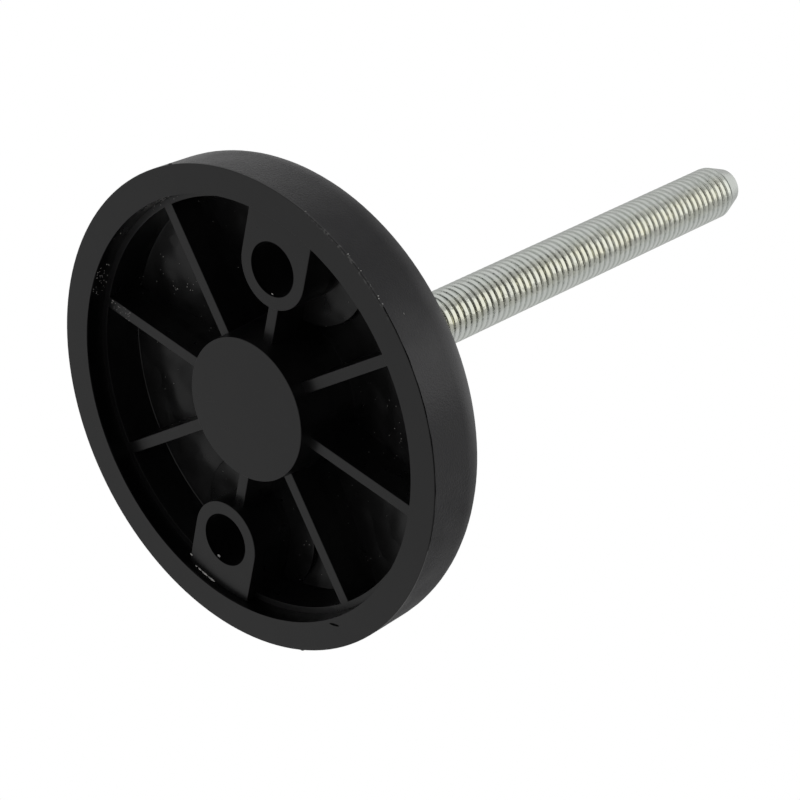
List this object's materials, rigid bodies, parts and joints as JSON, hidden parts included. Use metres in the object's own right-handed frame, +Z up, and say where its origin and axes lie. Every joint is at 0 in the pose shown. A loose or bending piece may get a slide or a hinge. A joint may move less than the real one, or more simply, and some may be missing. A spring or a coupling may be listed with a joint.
{
  "type": "adjustable levelling foot",
  "caption": "Levelling foot: round ribbed plastic base with floor bolt holes and a ball socket that holds a tilting threaded steel stud with a spanner hexagon.",
  "frame": {"origin": "centre of the base's floor face", "axes": "+Z up along the stud, X through the two floor bolt holes"},
  "size_m": [0.1, 0.1, 0.155],
  "materials": {
    "black_plastic": "black moulded plastic, fine grain outside, smooth underside",
    "zinc_plated_steel": "bright zinc plating with a faint yellow tint"
  },
  "bodies": {
    "base": {"moulded_base": "black_plastic"},
    "stud": {"ball_stud": "zinc_plated_steel"}
  },
  "joints": [
    {"name": "stud_tilt", "type": "hinge", "parent": "base", "child": "stud", "pos_m": [0, 0, 0.017], "axis": [0, 1, 0], "range_deg": [-15, 15]}
  ]
}
